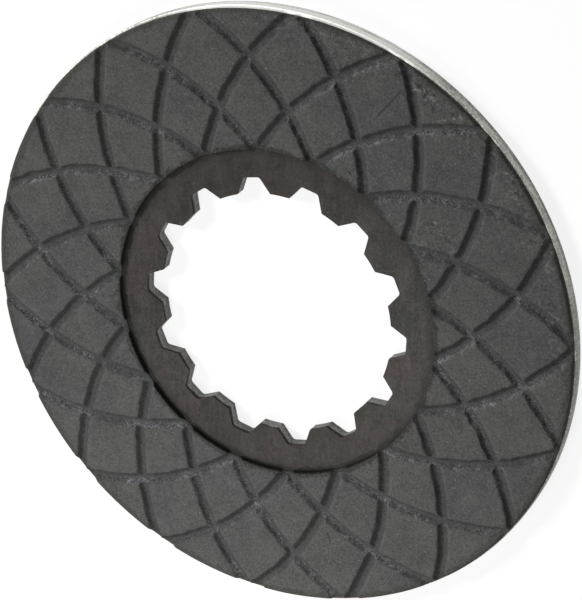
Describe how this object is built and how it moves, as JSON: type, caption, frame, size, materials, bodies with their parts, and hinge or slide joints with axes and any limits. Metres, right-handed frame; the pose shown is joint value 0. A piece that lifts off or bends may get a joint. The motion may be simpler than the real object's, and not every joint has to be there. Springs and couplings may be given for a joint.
{
  "type": "brake disc",
  "caption": "Flat round friction disc with internal spline teeth in its bore and a ring of grooved friction lining bonded to one face.",
  "frame": {"origin": "on the axis of the bore, at the bare back face of the steel core, on which the disc lies", "axes": "+Z along the axis, out of the friction face; +X through the middle of a land of the lining, between two groove crossings"},
  "size_m": [0.178, 0.178, 0.0053],
  "materials": {
    "core_steel": "flat blanked steel with fine rolling streaks, bright at its outer edge",
    "friction_lining": "dark grey moulded friction material, matte and finely speckled"
  },
  "bodies": {
    "root": {"splined_core": "core_steel", "friction_lining": "friction_lining"}
  },
  "joints": []
}
